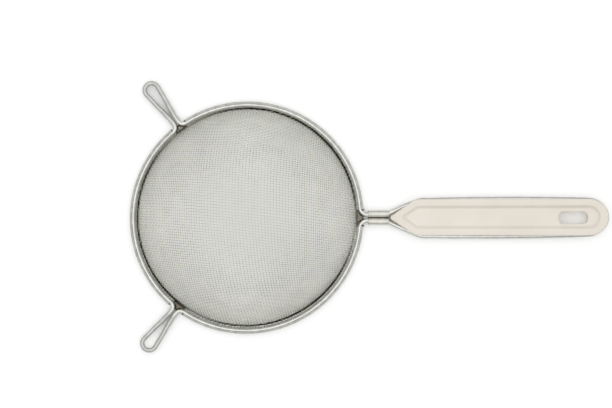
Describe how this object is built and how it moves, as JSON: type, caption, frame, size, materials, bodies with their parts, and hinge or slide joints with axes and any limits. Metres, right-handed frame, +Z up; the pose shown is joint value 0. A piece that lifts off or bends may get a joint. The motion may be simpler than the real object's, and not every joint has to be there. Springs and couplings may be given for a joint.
{
  "type": "mesh strainer",
  "caption": "Round woven-wire kitchen strainer with a rolled rim, looped rest ears and a plastic grip clamped in a wire loop with a hanging slot.",
  "frame": {"origin": "centre of the bounding box, on the table that the strainer lies on rim down", "axes": "+X along the handle from the rim to the end of the grip, +Z up from the rim to the crown of the bowl, +Y to the left of the handle"},
  "size_m": [0.2874, 0.1632, 0.0559],
  "materials": {
    "steel_wire": "bright drawn stainless wire",
    "steel_strip": "rolled stainless strip, satin",
    "wire_cloth": "plain-woven stainless wire cloth",
    "weld_metal": "heat-tinted weld, rough",
    "cream_plastic": "moulded cream plastic, half gloss"
  },
  "bodies": {
    "root": {"mesh_bowl": "wire_cloth", "rim_band": "steel_strip", "rim_wire": "steel_wire", "ear_weld_upper": "weld_metal", "ear_weld_lower": "weld_metal", "neck_weld": "weld_metal", "neck_ferrule": "steel_strip", "grip_wire": "steel_wire", "grip_front_shell": "cream_plastic", "grip_back_shell": "cream_plastic"}
  },
  "joints": []
}
